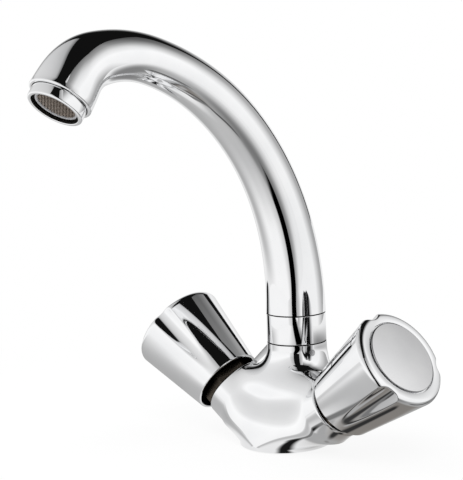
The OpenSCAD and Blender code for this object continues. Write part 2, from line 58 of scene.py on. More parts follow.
def makeCamera():
    right, up = Vector(camera["right"]).normalized(), Vector(camera["up"]).normalized()
    back = right.cross(up).normalized()
    up = back.cross(right)
    turned = Matrix((right, up, back)).transposed().to_4x4()
    eye = bpy.data.objects.new("photoCamera", bpy.data.cameras.new("photoCamera"))
    eye.matrix_world = Matrix.Translation(Vector(camera["place"]) * mm) @ turned
    eye.data.lens, eye.data.sensor_width = camera["lens"], camera["sensor"]
    eye.data.clip_start, eye.data.clip_end = camera["clip"]
    bpy.context.scene.collection.objects.link(eye)
    bpy.context.scene.camera = eye


makeCamera()


# a socket that can be written in sums
class Wire:
    def __init__(self, tree, socket):
        self.tree, self.socket = tree, socket

    def join(self, operation, first, second):
        node = self.tree.nodes.new("ShaderNodeMath")
        node.operation = operation
        for slot, value in zip(node.inputs, (first, second)):
            if isinstance(value, Wire):
                self.tree.links.new(value.socket, slot)
            else:
                slot.default_value = value
        return Wire(self.tree, node.outputs[0])

    def __add__(self, other):
        return self.join("ADD", self, other)

    def __sub__(self, other):
        return self.join("SUBTRACT", self, other)

    def __rsub__(self, other):
        return self.join("SUBTRACT", other, self)

    def __mul__(self, other):
        return self.join("MULTIPLY", self, other)

    def least(self, other):
        return self.join("MINIMUM", self, other)

    def most(self, other):
        return self.join("MAXIMUM", self, other)

    def root(self):
        return self.join("SQRT", self, 0.0)

    __radd__ = __add__
    __rmul__ = __mul__


# a shader's node tree, with one way to add any node
class Shader:
    def __init__(self, owner):
        owner.use_nodes = True
        self.tree = owner.node_tree
        self.tree.nodes.clear()

    def add(self, kind, settings=None, inputs=None, output=0):
        node = self.tree.nodes.new("ShaderNode" + kind)
        for key, value in (settings or {}).items():
            if key == "stops":
                ramp = node.color_ramp
                while len(ramp.elements) < len(value):
                    ramp.elements.new(0.5)
                for element, (place, colour) in zip(ramp.elements, value):
                    element.position, element.color = place, (*colour, 1.0)
            else:
                setattr(node, key, value)
        for key, value in (inputs or {}).items():
            if isinstance(value, Wire):
                self.tree.links.new(value.socket, node.inputs[key])
            else:
                node.inputs[key].default_value = value
        return Wire(self.tree, node.outputs[output])

    # the first two coordinates of a place
    def split(self, place):
        outputs = self.add("SeparateXYZ", inputs={"Vector": place}).socket.node.outputs
        return Wire(self.tree, outputs[0]), Wire(self.tree, outputs[1])

    def ramp(self, stops, share):
        return self.add("ValToRGB", {"stops": stops}, {"Fac": share})

    def blend(self, share, low, high):
        return self.add("Mix", {"data_type": "RGBA"}, {"Factor": share, 6: low, 7: high}, output=2)

    def noise(self, place, scale, detail):
        return self.add("TexNoise", inputs={"Vector": place, "Scale": scale, "Detail": detail})

    def finish(self, kind, surface):
        node = self.tree.nodes.new("ShaderNodeOutput" + kind)
        self.tree.links.new(surface.socket, node.inputs["Surface"])


# metal finishes: tones, polish and depth of the grain
metals = {
    "polishedChrome": {
        "low": (0.87, 0.875, 0.885), "high": (0.92, 0.922, 0.928),
        "rough": 0.03, "spread": 0.03, "bump": 0.004},
    "capChrome": {
        "low": (0.70, 0.70, 0.71), "high": (0.76, 0.76, 0.765),
        "rough": 0.12, "spread": 0.03, "bump": 0.0015},
    # brass painted near black as painted shade, for the bonnets that sit in the hoods' gaps
    "shadeDarkBrass": {
        "low": (0.06, 0.05, 0.042), "high": (0.12, 0.10, 0.08),
        "rough": 0.34, "spread": 0.12, "bump": 0.05},
    # a near-black finish: painted shade for joints, gaps, hoods and hollows
    "paintedShadeBlack": {
        "low": (0.012, 0.011, 0.010), "high": (0.034, 0.031, 0.028),
        "rough": 0.4, "spread": 0.12, "bump": 0.02},
    "plainSteel": {
        "low": (0.42, 0.42, 0.43), "high": (0.58, 0.58, 0.59),
        "rough": 0.32, "spread": 0.10, "bump": 0.05},
    "screenWire": {
        "low": (0.22, 0.18, 0.15), "high": (0.36, 0.31, 0.27),
        "rough": 0.36, "spread": 0.10, "bump": 0.03},
}
noiseMiddle = 0.5
# soft clouds of tone over a fine grain: each has a scale per metre and a detail, and dent is in metres
metalGrain = {
    "cloud": (45.0, 4.0), "grain": (900.0, 3.0), "cloudShare": 0.6, "stops": (0.35, 0.65), "dent": 0.0002,
}


def makeMetal(name):
    look = metals[name]
    metal = bpy.data.materials.new(name)
    s = Shader(metal)
    place = s.add("TexCoord", output=3)
    cloud, grain = s.noise(place, *metalGrain["cloud"]), s.noise(place, *metalGrain["grain"])
    start, end = metalGrain["stops"]
    tone = s.ramp([(start, look["low"]), (end, look["high"])], cloud)
    dent = s.add("Bump", inputs={"Height": grain, "Strength": look["bump"], "Distance": metalGrain["dent"]})
    polish = cloud * metalGrain["cloudShare"] + grain * (1 - metalGrain["cloudShare"]) - noiseMiddle
    rough = look["rough"] + look["spread"] * polish
    s.finish("Material", s.add("BsdfPrincipled", inputs={
        "Base Color": tone, "Metallic": 1.0, "Roughness": rough, "Normal": dent}))
    return metal


# rubber, ceramic and plastic finishes: tones, polish, and depth and scale of the grain
solids = {
    "sealRubber": {
        "low": (0.012, 0.012, 0.013), "high": (0.03, 0.03, 0.03),
        "rough": 0.6, "spread": 0.2, "bump": 0.2, "scale": 700.0},
    "discCeramic": {
        "low": (0.74, 0.72, 0.68), "high": (0.82, 0.80, 0.76),
        "rough": 0.16, "spread": 0.08, "bump": 0.02, "scale": 500.0},
    "jetPlastic": {
        "low": (0.34, 0.34, 0.35), "high": (0.44, 0.44, 0.45),
        "rough": 0.42, "spread": 0.12, "bump": 0.08, "scale": 600.0},
}
solidGrain = {"detail": 5.0, "stops": (0.3, 0.7), "dent": 0.0001}


def makeSolid(name):
    look = solids[name]
    solid = bpy.data.materials.new(name)
    s = Shader(solid)
    grain = s.noise(s.add("TexCoord", output=3), look["scale"], solidGrain["detail"])
    start, end = solidGrain["stops"]
    tone = s.ramp([(start, look["low"]), (end, look["high"])], grain)
    dent = s.add("Bump", inputs={"Height": grain, "Strength": look["bump"], "Distance": solidGrain["dent"]})
    rough = look["rough"] + look["spread"] * (grain - noiseMiddle)
    s.finish("Material", s.add("BsdfPrincipled", inputs={
        "Base Color": tone, "Roughness": rough, "Normal": dent}))
    return solid


finishes = {name: makeMetal(name) for name in metals} | {name: makeSolid(name) for name in solids}
slotFinish = {
    "chrome": "polishedChrome", "cap_chrome": "capChrome", "brass": "shadeDarkBrass", "steel": "plainSteel",
    "rubber": "sealRubber", "ceramic": "discCeramic", "grey_plastic": "jetPlastic", "screen": "screenWire",
}
nodeSlot = {part["node"]: part["material_slot"] for part in frame["record"]["subparts"]}
nodeBody = {node: body for body, nodes in frame["record"]["behaviour"]["bodies"].items() for node in nodes}
for name, node in frame["nodes"].items():
    node.data.materials.clear()
    node.data.materials.append(finishes[slotFinish[nodeSlot[name]]])
print("finishes made:", len(finishes))


# moves a bmesh into a new object of the scene
def objectFrom(bm, name):
    mesh = bpy.data.meshes.new(name)
    bm.to_mesh(mesh)
    bm.free()
    made = bpy.data.objects.new(name, mesh)
    bpy.context.scene.collection.objects.link(made)
    return made


# turns a bmesh into a finished piece that stands for one CAD node
def finishPiece(bm, name, node, sharp=30.0):
    bmesh.ops.recalc_face_normals(bm, faces=bm.faces)
    for face in bm.faces:
        face.smooth = True
    piece = objectFrom(bm, name)
    piece.data.set_sharp_from_angle(angle=math.radians(sharp))
    piece.data.materials.append(finishes[slotFinish[nodeSlot[node]]])
    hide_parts(node)
    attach(piece, nodeBody[node])
    return piece


# gives the faces whose middles a test picks, in millimetres, another finish: by default a near-black one
# that is painted shade in joints, gaps and hollows
def paintShadeOrRefinish(piece, inside, finish="paintedShadeBlack"):
    piece.data.materials.append(finishes[finish])
    slot = len(piece.data.materials) - 1
    for face in piece.data.polygons:
        if inside(face.center / mm):
            face.material_index = slot


# draws an open loop of edges out into a new loop
def extrudeLoop(bm, edges):
    made = bmesh.ops.extrude_edge_only(bm, edges=edges)["geom"]
    verts = [g for g in made if isinstance(g, bmesh.types.BMVert)]
    fresh = set(verts)
    return verts, [g for g in made if isinstance(g, bmesh.types.BMEdge) and fresh.issuperset(g.verts)]


# joins rings of points into a solid: each ring gives a point for an angle
def sweepRings(bm, sides, rings):
    turn = bm.verts.layers.float.new("turn")
    bmesh.ops.create_circle(bm, cap_ends=False, radius=1.0, segments=sides)
    for v in bm.verts:
        v[turn] = math.atan2(v.co.y, v.co.x)
    verts, edges = bm.verts[:], bm.edges[:]
    first = edges
    for k, ring in enumerate(rings):
        if k:
            verts, edges = extrudeLoop(bm, edges)
        for v in verts:
            v.co = Vector(ring(v[turn])) * mm
    bmesh.ops.contextual_create(bm, geom=first)
    bmesh.ops.contextual_create(bm, geom=edges)


# rounds the corners of an outline: each point is (radius, height, rounding)
def roundedOutline(points, steps=5):
    made = []
    for k, (x, y, rounding) in enumerate(points):
        here = Vector((x, y))
        if not rounding:
            made.append(here)
            continue
        before = (Vector(points[k - 1][:2]) - here).normalized()
        after = (Vector(points[(k + 1) % len(points)][:2]) - here).normalized()
        half = before.angle(after) / 2
        reach = rounding / math.tan(half)
        centre = here + (before + after).normalized() * rounding / math.sin(half)
        start, end = here + before * reach - centre, here + after * reach - centre
        for i in range(steps + 1):
            made.append(centre + start.slerp(end, i / steps).normalized() * rounding)
    return made


# turns a closed outline about the z axis and puts it in its place
def turnedPiece(points, place, steps=96):
    bm = bmesh.new()
    verts = [bm.verts.new((p.x * mm, 0.0, p.y * mm)) for p in roundedOutline(points)]
    edges = [bm.edges.new(pair) for pair in zip(verts, verts[1:] + verts[:1])]
    bmesh.ops.spin(bm, geom=verts + edges, cent=(0, 0, 0), axis=(0, 0, 1), angle=math.tau, steps=steps,
                   use_merge=True)
    bmesh.ops.remove_doubles(bm, verts=bm.verts, dist=weld)
    bmesh.ops.dissolve_degenerate(bm, dist=weld, edges=bm.edges)
    bmesh.ops.transform(bm, matrix=place, verts=bm.verts)
    return bm


def lift(x, y, z):
    return Matrix.Translation(Vector((x, y, z)) * mm)


# the neck's axis and the two valves' axes, as in the CAD
neck = {"setback": 10.3, "radius": 14.2, "top": 47.1, "edge": 0.12}
arms = {"tilt": 36.0, "drop": 2.7, "radius": 14.4, "end": 41.8, "edge": 1.5}


def onValve(side, along):
    tilt = Matrix.Rotation(side * math.radians(90 - arms["tilt"]), 4, "Y")
    half = Matrix.Rotation(0 if side > 0 else math.pi, 4, "Z")
    return lift(0, 0, -arms["drop"]) @ tilt @ Matrix.Translation((0, 0, along * mm)) @ half


def fromNeck(p):
    return math.hypot(p.x, p.y - neck["setback"])


# the collar stands just clear of the neck and the spout, and the faces in the two joints are painted near
# black as painted shade
collar = {"foot": 47.55, "height": 13.4, "radius": 14.1, "bore": 9.03, "edge": 0.2, "jointShadeRadius": 14.05}


def makeCollar():
    low, high = collar["foot"], collar["foot"] + collar["height"]
    bore, outer, edge = collar["bore"], collar["radius"], collar["edge"]
    outline = [(bore, low, 0), (outer, low, edge), (outer, high, edge), (bore, high, 0)]
    piece = finishPiece(turnedPiece(outline, lift(0, neck["setback"], 0)), "collarRing", "spout_collar")
    # all but the collar's outer side and the outer part of its rounded edges is painted near black, as
    # painted shade in the joints
    paintShadeOrRefinish(piece, lambda p: fromNeck(p) < collar["jointShadeRadius"])


makeCollar()

# bends are (radius, angle), or (0, length) for a straight; radii are (length along the spout, radius)
spout = {
    "foot": 61.4,
    "bends": [(0.0, 5.0), (123.0, 73.2), (66.5, 27.6), (23.5, 40.3), (0.0, 8.6)],
    "easing": 9.0,
    "radii": [(0, 14.3), (18, 13.7), (37, 13.13), (73, 12.26), (110, 11.58), (143, 10.78), (160, 10.6),
              (176, 10.8), (190, 11.5), (202, 12.55), (212, 13.55), (219.5, 14.0)],
    "footEdge": (0.12, 0.1),
    "lipEdge": 0.8,
    "lipSteps": 8,
    # the lip ring inside this radius, and the outlet within the reach and depth below, are painted near
    # black as painted shade
    "lipShadeStart": 12.6,
    "lipHole": 11.2,
    "holeDepth": 9.0,
    "outletShade": (12.7, 12.0),
    "spigot": 9.0,
    "spigotEnd": 33.9,
    "fine": 2001,
    "sides": 96,
    "ringStart": 1.0,
    "rings": 130,
}


# runs along the bends, with the change of curve eased so that reflections flow
def spoutPath():
    spans = []
    for radius, amount in spout["bends"]:
        spans.append((amount, 0.0) if radius == 0 else (radius * math.radians(amount), 1.0 / radius))
    total = sum(length for length, _ in spans)
    fine = np.linspace(0.0, total, spout["fine"])
    apart = fine[1] - fine[0]
    curve = np.zeros_like(fine)
    start = 0.0
    for length, bend in spans:
        curve[(fine >= start) & (fine < start + length)] = bend
        start += length
    width = int(spout["easing"] / apart) | 1
    hump = np.hanning(width + 2)[1:-1]
    eased = np.convolve(np.pad(curve, width // 2, mode="edge"), hump / hump.sum(), mode="valid")
    eased *= curve.sum() / eased.sum()

    def run(bend):
        heading = math.pi / 2 - np.concatenate(([0.0], np.cumsum((bend[1:] + bend[:-1]) / 2) * apart))
        step = np.stack([np.cos(heading), np.sin(heading)], axis=1)
        points = np.concatenate((np.zeros((1, 2)), np.cumsum((step[1:] + step[:-1]) / 2, axis=0) * apart))
        return points, heading

    sharp, sharpHeading = run(curve)
    points, heading = run(eased)
    blend = (fine / total)[:, None] ** 2
    points = points + (sharp[-1] - points[-1]) * blend
    heading = heading + (sharpHeading[-1] - heading[-1]) * blend[:, 0]
    return fine, points, heading


# a smooth line through stations of (place, value)
def smoothThrough(stations, at):
    xs, ys = np.array(stations, float).T
    slopes = np.gradient(ys, xs)
    k = np.clip(np.searchsorted(xs, at, side="right") - 1, 0, len(xs) - 2)
    span = xs[k + 1] - xs[k]
    t = (at - xs[k]) / span
    return ((2 * t**3 - 3 * t**2 + 1) * ys[k] + (t**3 - 2 * t**2 + t) * span * slopes[k]
            + (3 * t**2 - 2 * t**3) * ys[k + 1] + (t**3 - t**2) * span * slopes[k + 1])


def spoutRing(point, heading, radius):
    def at(angle):
        side, out = radius * math.cos(angle), radius * math.sin(angle)
        back = neck["setback"] - point[0] + out * math.sin(heading)
        return (side, back, spout["foot"] + point[1] + out * math.cos(heading))
    return at


def makeSpout():
    fine, points, heading = spoutPath()
    end, edge, lip = fine[-1], spout["lipEdge"], spout["radii"][-1][1]
    inset, rise = spout["footEdge"]
    stops = [(0.0, spout["spigot"]), (0.0, spout["radii"][0][1] - inset)]
    for d in [rise, *np.linspace(spout["ringStart"], end - edge, spout["rings"])]:
        stops.append((d, float(smoothThrough(spout["radii"], d))))
    for k in range(1, spout["lipSteps"] + 1):
        angle = math.radians(90 * k / spout["lipSteps"])
        stops.append((end - edge + edge * math.sin(angle), lip - edge + edge * math.cos(angle)))
    hole = spout["lipHole"]
    stops += [(end, spout["lipShadeStart"]), (end, hole), (end - spout["holeDepth"], hole)]

    def ring(stop):
        d, radius = stop
        point = [np.interp(d, fine, points[:, 0]), np.interp(d, fine, points[:, 1])]
        return spoutRing(point, np.interp(d, fine, heading), radius)

    low = spoutRing((0.0, spout["spigotEnd"] - spout["foot"]), math.pi / 2, spout["spigot"])
    bm = bmesh.new()
    sweepRings(bm, spout["sides"], [low] + [ring(stop) for stop in stops])
    piece = finishPiece(bm, "spoutTube", "spout")
    x, z = points[-1]
    turned = Matrix.Rotation(-math.pi / 2 - heading[-1], 4, "X")
    atLip = lift(0, neck["setback"] - x, spout["foot"] + z) @ turned
    back = atLip.inverted()
    reach, depth = spout["outletShade"]

    # the foot's underside in the collar joint, and the lip's inner ring and bore at the outlet, are painted
    # near black as painted shade
    def inShade(p):
        inLip = back @ (p * mm)
        atFoot = p.z < spout["foot"] + rise and fromNeck(p) < collar["jointShadeRadius"]
        return atFoot or (inLip.xy.length < reach * mm and abs(inLip.z) < depth * mm)

    paintShadeOrRefinish(piece, inShade)
    return atLip


atOutlet = makeSpout()
print("spout made")

# heights run up into the spout from its lip
aerator = {
    "radius": 12.3, "show": 5.0, "edge": 0.7, "gap": 0.03, "topEdge": 0.12,
    # the mouth, out to the margin below, is painted near black as painted shade
    "mouth": 10.6, "mouthDepth": 1.7, "mouthEdge": 0.3, "shadeMargin": 0.03,
    "threadRadius": 11.2, "thread": 6.0, "bore": 9.75,
    "insertRadius": 9.7, "insertProud": 0.2, "insertEdge": 0.4, "insertFloor": 2.4, "insertEnd": 7.0,
    "rimWidth": 1.1, "screenRadius": 8.75, "screenDepth": 0.65,
    "wires": 18, "wire": 0.2, "wireWave": 0.18, "wireHeight": 0.28, "wireSteps": 4,
}


def makeAerator():
    low = -aerator["show"]
    inside = low + aerator["mouthDepth"]
    bore, mouth, outer, thread = (aerator[key] for key in ("bore", "mouth", "radius", "threadRadius"))
    outline = [
        (bore, inside, 0), (mouth, inside, 0), (mouth, low, aerator["mouthEdge"]),
        (outer, low, aerator["edge"]), (outer, -aerator["gap"], aerator["topEdge"]),
        (thread, -aerator["gap"], 0), (thread, aerator["thread"], 0), (bore, aerator["thread"], 0)]
    piece = finishPiece(turnedPiece(outline, atOutlet), "aeratorRing", "aerator_housing")
    back = atOutlet.inverted()
    # the faces inside the mouth are painted near black as painted shade
    paintShadeOrRefinish(piece, lambda p: (back @ (p * mm)).xy.length < (mouth + aerator["shadeMargin"]) * mm)
    wall, edge = aerator["insertRadius"], aerator["insertEdge"]
    rim, front = wall - aerator["rimWidth"], inside - aerator["insertProud"]
    floor, end = inside + aerator["insertFloor"], inside + aerator["insertEnd"]
    outline = [(rim, floor, 0), (rim, front, edge), (wall, front, edge), (wall, end, 0), (0.0, end, 0),
               (0.0, floor, 0)]
    finishPiece(turnedPiece(outline, atOutlet), "jetInsert", "aerator_insert")


# the fine screen: two sets of woven wires, trimmed to a disc
def makeScreen():
    bm = bmesh.new()
    depth = -aerator["show"] + aerator["mouthDepth"] + aerator["screenDepth"]
    radius = aerator["screenRadius"]
    pitch = 2 * radius / aerator["wires"]
    for way in (0, 1):
        for k in range(aerator["wires"]):
            off = (k + 0.5) * pitch - radius
            reach = math.sqrt(radius**2 - off**2)
            steps = max(int(aerator["wireSteps"] * reach / pitch), 2)
            for v in bmesh.ops.create_grid(bm, x_segments=steps, y_segments=1, size=1.0)["verts"]:
                along, width = v.co.x * reach, v.co.y * aerator["wire"]
                wave = math.sin(along / pitch * math.pi + (k + way) * math.pi) * aerator["wireWave"]
                if way == 0:
                    v.co = Vector((along, off + width, depth + wave)) * mm
                else:
                    v.co = Vector((off + width, along, depth - wave)) * mm
    bmesh.ops.solidify(bm, geom=bm.faces[:], thickness=aerator["wireHeight"] * mm)
    bmesh.ops.transform(bm, matrix=atOutlet, verts=bm.verts)
    finishPiece(bm, "aeratorScreen", "aerator_screen")


makeAerator()
makeScreen()
print("aerator made")

# a handle's hood, recess and hub; the rim's place is a length along the valve
handle = {
    "rim": 46.0, "length": 42.0, "rimRadius": 17.25, "lobeRadius": 23.37,
    "faceRound": 2.6, "faceSteps": 14, "wall": 1.1, "rimEdge": 0.45, "rimSteps": 5,
    "flutes": 3, "fluteRadius": 7.0, "fluteDepth": 2.4, "fluteFoot": 0.3, "fluteLip": 0.9,
    "blendFoot": 0.25, "blendFace": 1.3,
    "brim": 0.96, "brimSlope": 3.4,  # past this share of its radius a flute's side runs on straight
    "capRadius": 17.3, "capSeat": 1.4, "capGap": 0.02, "capProud": 0.7, "capEdge": 0.55, "capSides": 160,
    "seatStart": 2.0, "seatEdge": 0.15, "grooveWidth": 0.6, "grooveEdge": (0.2, 0.06),
    # the hood's inside, within the margin and depth below, is painted near black as painted shade
    "ceiling": 5.0, "ceilingEdge": (1.0, 0.3), "innerEdge": 0.15, "shadeMargin": 0.02, "shadeDepth": 2.0,
    "hub": 6.6, "hubLength": 14.0, "hubEdge": 0.3, "hubBore": 4.4, "hubEnd": 2.0,
    "turns": {-1: 34.0, 1: 97.0}, "sides": 288, "stations": 48,
    "crease": (5.0, 3.4),  # a flute's least half width and the reach of its edge's close lines, in degrees
    "shares": (0.2, 0.56),  # parts of the lines up to the near and the far side of that edge
}


# the lesser of two fields, with a soft blend where they meet
def smoothLow(a, b, reach):
    near = np.maximum(reach - np.abs(a - b), 0.0) / reach
    return np.minimum(a, b) - near**3 * reach / 6


# a cut across a handle: how its flutes lie there, and how its lines spread to follow their edges
class HandleCut:
    def __init__(self, along, plain, inset=0.0):
        share = (along - handle["rim"]) / handle["length"]
        face = handle["lobeRadius"] - handle["fluteDepth"]
        foot = handle["rimRadius"] + handle["fluteFoot"]
        self.plain, self.inset = plain, inset
        self.centre = face + handle["fluteRadius"]
        self.radius = self.centre - foot - (face - foot) * share
        self.blend = handle["blendFoot"] + (handle["blendFace"] - handle["blendFoot"]) * share
        meet = (plain**2 + self.centre**2 - (self.radius + inset)**2) / (2 * plain * self.centre)
        least, reach = handle["crease"]
        edge = max(math.degrees(math.acos(min(meet, 1.0))), least)
        near, far = handle["shares"]
        self.lines = ((0.0, near, far, 1.0), (0.0, edge - reach, edge + reach, 180 / handle["flutes"]))

    # the angle from a flute's middle for a share of the way to the next lobe's middle
    def spread(self, share):
        return math.copysign(math.radians(float(np.interp(abs(share), *self.lines))), share)

    # the radius at an angle from a flute's middle
    def reach(self, off):
        wide, brim = abs(self.centre * math.sin(off)), self.radius * handle["brim"]
        scoop = self.centre * math.cos(off) - math.sqrt(self.radius**2 - min(wide, brim)**2)
        flute = scoop + max(wide - brim, 0.0) * handle["brimSlope"]
        return float(smoothLow(self.plain, flute - self.inset, self.blend))


def makeHandle(side):
    place = onValve(side, 0)
    rim = handle["rim"]
    face = rim + handle["length"]
    ceiling = face - handle["ceiling"]
    roundStart, low = face - handle["faceRound"], rim + handle["rimEdge"]
    pitch = math.tau / handle["flutes"]
    middle = math.radians(90 + handle["turns"][side])
    rings = []

    def coneRadius(along):
        share = (min(along, roundStart) - rim) / (roundStart - rim)
        return handle["rimRadius"] + (handle["lobeRadius"] - handle["rimRadius"]) * share

    def addRing(along, radius, cut):
        def at(turn):
            flute = round((turn - middle) / pitch)
            off = cut.spread((turn - middle - flute * pitch) / pitch * 2)
            angle, r = middle + flute * pitch + off, radius or cut.reach(off)
            return place @ (Vector((r * math.cos(angle), r * math.sin(angle), along)) * mm) / mm
        rings.append(at)

    def plainRings(pairs):
        for radius, along in pairs:
            addRing(along, radius, HandleCut(along, coneRadius(along)))

    recess, seat = handle["capRadius"] + handle["grooveWidth"], face - handle["capSeat"]
    corner, (bevel, middleBevel) = handle["seatEdge"], handle["grooveEdge"]
    plainRings([
        (handle["seatStart"], seat), (recess - corner, seat), (recess, seat + corner),
        (recess, face - bevel), (recess + middleBevel, face - middleBevel), (recess + bevel, face)])
    lip = handle["fluteLip"]
    for k in range(handle["faceSteps"], -1, -1):
        angle = math.radians(90 * k / handle["faceSteps"])
        rise = handle["faceRound"] * math.sin(angle)
        over = max(rise - handle["faceRound"] + lip, 0.0)
        plain = handle["lobeRadius"] - handle["faceRound"] * (1 - math.cos(angle))
        cut = HandleCut(roundStart + rise, plain, lip - math.sqrt(lip**2 - over**2))
        addRing(roundStart + rise, None, cut)
    for k in range(1, handle["stations"] + 1):
        along = roundStart + (low - roundStart) * k / handle["stations"]
        addRing(along, None, HandleCut(along, coneRadius(along)))
    edge = handle["rimEdge"]
    for k in range(1, handle["rimSteps"] + 1):
        angle = math.radians(90 * k / handle["rimSteps"])
        plainRings([(coneRadius(low) - edge * (1 - math.cos(angle)), low - edge * math.sin(angle))])
    inner = handle["rimRadius"] - handle["wall"]
    corner, (bevel, middleBevel) = handle["innerEdge"], handle["ceilingEdge"]
    hub, bore, hubEdge = handle["hub"], handle["hubBore"], handle["hubEdge"]
    hubLow = ceiling - handle["hubLength"]
    plainRings([
        (inner + corner, rim), (inner, rim + corner), (inner, ceiling - bevel),
        (inner - middleBevel, ceiling - middleBevel), (inner - bevel, ceiling),
        (hub, ceiling), (hub, hubLow + hubEdge), (hub - hubEdge, hubLow), (bore, hubLow),
        (bore, ceiling - handle["hubEnd"])])
    bm = bmesh.new()
    sweepRings(bm, handle["sides"], rings)
    word = "right" if side > 0 else "left"
    axis = place.to_3x3() @ Vector((0, 0, 1))
    piece = finishPiece(bm, word + "Handle", "handle_" + word)
    # the faces inside the hood are painted near black as painted shade
    reach, depth = inner + handle["shadeMargin"], face - handle["shadeDepth"]

    def inHood(p):
        p = p - place.translation / mm
        return p.cross(axis).length < reach and p.dot(axis) < depth

    paintShadeOrRefinish(piece, inHood)
    foot, top, wide = handle["capGap"] - handle["capSeat"], handle["capProud"], handle["capRadius"]
    outline = [(0.0, foot, 0), (wide, foot, 0), (wide, top, handle["capEdge"]), (0.0, top, 0)]
    cap = turnedPiece(outline, onValve(side, face), handle["capSides"])
    finishPiece(cap, word + "Cap", "index_cap_" + word)


for side in (-1, 1):
    makeHandle(side)
print("handles made")

# the casting: a foot, two arms that bend out of it and a leaning neck, blended together;
# armLeave and armWiden are how fast the arm's inner and outer line and its width leave the foot
casting = {
    "foot": 21.9, "footTop": 1.6, "footEdge": 0.3,
    "armJoin": 33.0, "armCut": 40.2, "armLeave": (-38.0, -20.0), "armWiden": -6.0, "armSteps": 6,
    "shoulder": {"radius": 11.0, "back": 1.5, "height": 24.3, "droop": 0.0016, "blend": 5.0},
    "neckCut": 45.6, "neckSpan": (1.6, 51.9),
    "neckWidths": [(1.6, 21.9), (10.0, 20.2), (20.0, 18.3), (28.0, 17.0), (34.0, 15.9), (39.0, 14.8),
                   (43.0, 14.25), (47.1, 14.2), (52.0, 14.2)],
    "neckLean": [(1.6, 0.0), (10.0, 3.0), (20.0, 6.6), (28.0, 9.0), (34.0, 10.1), (38.0, 10.3),
                 (47.1, 10.3), (52.0, 10.3)],
    "armBlend": 7.0, "neckBlend": 13.0, "blendStart": (1.8, 16.0), "blendLeast": 0.01,
    "voxel": 0.75, "passes": 12, "rounds": 2, "roundPasses": 4, "slopeLeast": 0.05, "stepMost": 1.5,
    "boreRadius": 10.3, "boreDepth": 3.0, "neckBore": 11.3, "neckBoreDepth": 1.3,
    "gasket": (20.75, 17.65, 1.52),
    "grubAngle": 71.5, "grubHeight": 43.5, "grubRadius": 1.55, "grubOut": 1.6, "grubDepth": 6.0,
    "grubSides": 40,
    "sharp": 35.0, "onField": 0.01, "facing": 0.9,
    # the rough start: the foot's heights, how far its hulls run past their joins, and the neck's rings
    "draft": {
        "sides": 48, "smooth": 4, "foot": (-2.0, 2.0), "overlap": 4.0, "over": 2.0, "barEnd": 25.0,
        "neckFoot": (-1.9, 0.1), "neckMiddle": (33.0, 17.5), "neckStraight": (30.0, 50.0), "neckSpare": 1.0,
    },
}


def eased(a, slopeA, b, t):
    return (2 * t**3 - 3 * t**2 + 1) * a + (t**3 - 2 * t**2 + t) * slopeA + (3 * t**2 - 2 * t**3) * b


def armField(p, side):
    tilt, bend = math.radians(arms["tilt"]), math.radians(90 - arms["tilt"])
    top, join = casting["footTop"], casting["armJoin"]
    hinge = (join - (top + arms["drop"]) * math.sin(tilt)) / math.cos(tilt)
    x, y, z = side * p[:, 0], p[:, 1], p[:, 2]
    dx, dz = hinge - x, z - top
    turn = np.arctan2(dz, dx)
    t = np.clip(turn / bend, 0.0, 1.0)
    reach = np.hypot(dx, dz)
    middle = math.hypot(hinge - join * math.cos(tilt), join * math.sin(tilt) - arms["drop"] - top)
    inner = eased(hinge - casting["foot"], casting["armLeave"][0], middle - arms["radius"], t)
    outer = eased(hinge + casting["foot"], casting["armLeave"][1], middle + arms["radius"], t)
    width = eased(casting["foot"], casting["armWiden"], arms["radius"], t)
    half = (outer - inner) / 2
    loft = (np.hypot((reach - (outer + inner) / 2) / half, y / width) - 1.0) * np.minimum(half, width)
    across = x * math.sin(tilt) - (z + arms["drop"]) * math.cos(tilt)
    return np.where(turn >= bend, np.hypot(across, y) - arms["radius"], loft)


# about the distance from the casting's surface, which is negative inside it
def castingField(p):
    z = p[:, 2]
    level = np.clip(z, *casting["neckSpan"])
    width, lean = smoothThrough(casting["neckWidths"], level), smoothThrough(casting["neckLean"], level)
    column = np.hypot(p[:, 0], p[:, 1] - lean) - width
    low, high = casting["blendStart"]
    t = np.clip((z - low) / (high - low), 0.0, 1.0)
    fade = t * t * (3 - 2 * t) + casting["blendLeast"]
    both = smoothLow(armField(p, 1), armField(p, -1), casting["armBlend"] * fade)
    bar = casting["shoulder"]
    level = bar["height"] - bar["droop"] * p[:, 0] ** 2
    both = smoothLow(both, np.hypot(p[:, 1] - bar["back"], z - level) - bar["radius"], bar["blend"])
    return smoothLow(both, column, casting["neckBlend"] * fade)


def fieldSlope(p, step=0.02):
    slopes = []
    for way in np.eye(3):
        slopes.append((castingField(p + step * way) - castingField(p - step * way)) / (2 * step))
    return np.stack(slopes, axis=1)


def soften(bm, times):
    for turn in range(times):
        bmesh.ops.smooth_vert(
            bm, verts=bm.verts, factor=0.5, use_axis_x=True, use_axis_y=True, use_axis_z=True)


